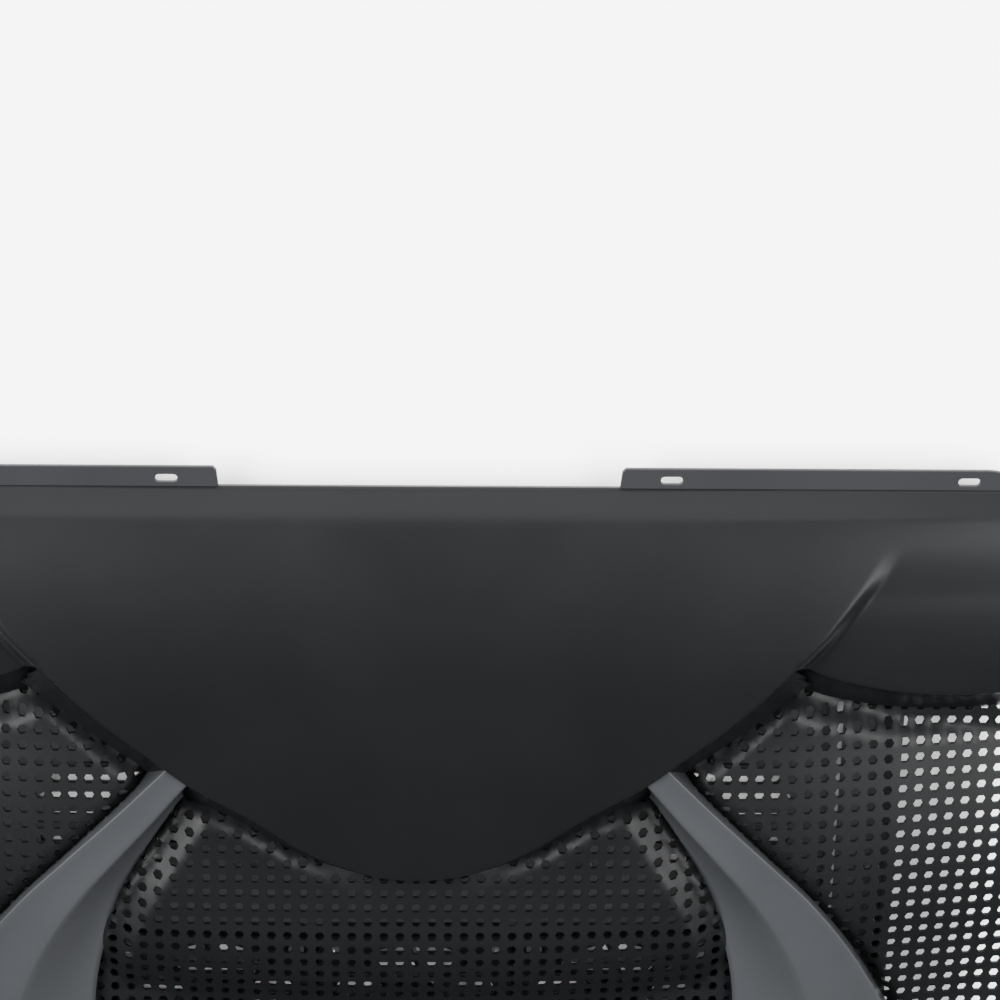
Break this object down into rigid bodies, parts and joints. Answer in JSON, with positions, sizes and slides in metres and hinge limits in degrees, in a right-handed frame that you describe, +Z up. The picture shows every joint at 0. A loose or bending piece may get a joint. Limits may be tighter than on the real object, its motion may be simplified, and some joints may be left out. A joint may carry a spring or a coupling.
{
  "type": "laptop cooling pad",
  "caption": "Wide laptop cooling pad with a raised rear cowl, a perforated deck between curved ribs, flat fans in a low tray, flip-up stops, flip-out legs and slotted rear tabs.",
  "frame": {"origin": "on the table under the middle of the pad's bounding box", "axes": "+Z up, -Y towards the person at the keyboard, +X to that person's right"},
  "size_m": [0.432, 0.3, 0.04],
  "materials": {
    "satin_black_plastic": "satin moulded",
    "deck_plastic": "fine texture moulded",
    "rib_plastic": "satin moulded",
    "tray_plastic": "texture moulded",
    "fan_plastic": "moulded",
    "rotor_plastic": "semi gloss moulded",
    "winding": "enamelled copper",
    "steel": "plated",
    "control_plastic": "satin moulded",
    "switch_plastic": "moulded",
    "clear_lens": "frosted clear",
    "lamp_body": "moulded",
    "circuit_board": "solder mask",
    "socket_metal": "plated",
    "lead_jacket": "smooth jacket",
    "rubber": "moulded rubber"
  },
  "bodies": {
    "base": {"rear_cowl": "satin_black_plastic", "perforated_deck": "deck_plastic", "rib_left": "rib_plastic", "rib_right": "rib_plastic", "front_bezel": "satin_black_plastic", "bottom_tray": "tray_plastic", "fan_screws": "steel", "casing_screws": "steel", "power_switch": "switch_plastic", "speed_potentiometer": "switch_plastic", "lamp_lens": "clear_lens", "status_lamp": "lamp_body", "control_board": "circuit_board", "socket_board": "circuit_board", "usb_socket_power": "socket_metal", "usb_socket_through": "socket_metal", "fan_leads": "lead_jacket", "feed_lead": "lead_jacket", "rubber_feet": "rubber", "fan_frame_centre": "fan_plastic", "fan_stator_centre": "winding", "fan_frame_left": "fan_plastic", "fan_stator_left": "winding", "fan_frame_right": "fan_plastic", "fan_stator_right": "winding", "stop_pin_left": "steel", "leg_pin_left": "steel", "stop_pin_right": "steel", "leg_pin_right": "steel"},
    "centre_rotor": {"fan_rotor_centre": "rotor_plastic"},
    "left_rotor": {"fan_rotor_left": "rotor_plastic"},
    "right_rotor": {"fan_rotor_right": "rotor_plastic"},
    "left_stop": {"laptop_stop_left": "control_plastic"},
    "right_stop": {"laptop_stop_right": "control_plastic"},
    "left_leg": {"rear_leg_left": "tray_plastic", "leg_pad_left": "rubber"},
    "right_leg": {"rear_leg_right": "tray_plastic", "leg_pad_right": "rubber"},
    "button": {"power_button": "control_plastic"},
    "dial": {"speed_dial": "control_plastic"}
  },
  "joints": [
    {"name": "centre_fan_spin", "type": "hinge", "parent": "base", "child": "centre_rotor", "pos_m": [0, -0.068, 0.01], "axis": [0, 0, 1], "continuous": true},
    {"name": "left_fan_spin", "type": "hinge", "parent": "base", "child": "left_rotor", "pos_m": [-0.073, -0.068, 0.01], "axis": [0, 0, 1], "continuous": true},
    {"name": "right_fan_spin", "type": "hinge", "parent": "base", "child": "right_rotor", "pos_m": [0.073, -0.068, 0.01], "axis": [0, 0, 1], "continuous": true},
    {"name": "left_stop_flip", "type": "hinge", "parent": "base", "child": "left_stop", "pos_m": [-0.095, -0.141, 0.0238], "axis": [1, 0, 0], "range_deg": [0, 90]},
    {"name": "right_stop_flip", "type": "hinge", "parent": "base", "child": "right_stop", "pos_m": [0.095, -0.141, 0.0238], "axis": [1, 0, 0], "range_deg": [0, 90]},
    {"name": "left_leg_flip", "type": "hinge", "parent": "base", "child": "left_leg", "pos_m": [-0.11, 0.072, 0.0046], "axis": [1, 0, 0], "range_deg": [0, 80]},
    {"name": "right_leg_flip", "type": "hinge", "parent": "base", "child": "right_leg", "pos_m": [0.11, 0.072, 0.0046], "axis": [1, 0, 0], "range_deg": [0, 80]},
    {"name": "power_button_press", "type": "slide", "parent": "base", "child": "button", "axis": [0, 0, 1], "range_m": [-0.0012, 0], "stiffness_N_per_m": 300, "springref_m": 0.001},
    {"name": "speed_dial_turn", "type": "hinge", "parent": "base", "child": "dial", "pos_m": [0.022, -0.13, 0.024], "axis": [0, 0, 1], "range_deg": [0, 270]}
  ]
}
